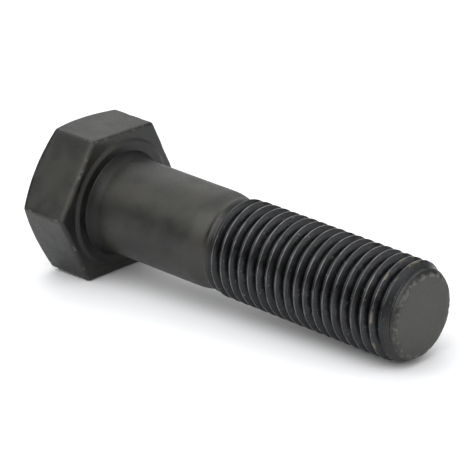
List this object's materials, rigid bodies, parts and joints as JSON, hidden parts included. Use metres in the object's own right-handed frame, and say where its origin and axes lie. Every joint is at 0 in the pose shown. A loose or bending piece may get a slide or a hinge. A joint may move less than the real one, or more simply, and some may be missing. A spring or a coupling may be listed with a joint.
{
  "type": "hex bolt",
  "caption": "Long hex-head bolt with a washer face under the head, a plain shank, a reduced neck and a right-hand rolled thread with a chamfered point, in black-oxide steel.",
  "frame": {"origin": "centre of the head's top face, on the bolt's axis", "axes": "+X along the axis from the head's top face to the point, +Z square to one of the six wrench flats, the hexagon's corners on +Y and -Y"},
  "size_m": [0.141, 0.0546, 0.0474],
  "materials": {
    "black_oxide_steel": "black oxide, satin on the head and shank, darker and oily in the thread"
  },
  "bodies": {
    "root": {"hex_bolt": "black_oxide_steel"}
  },
  "joints": []
}
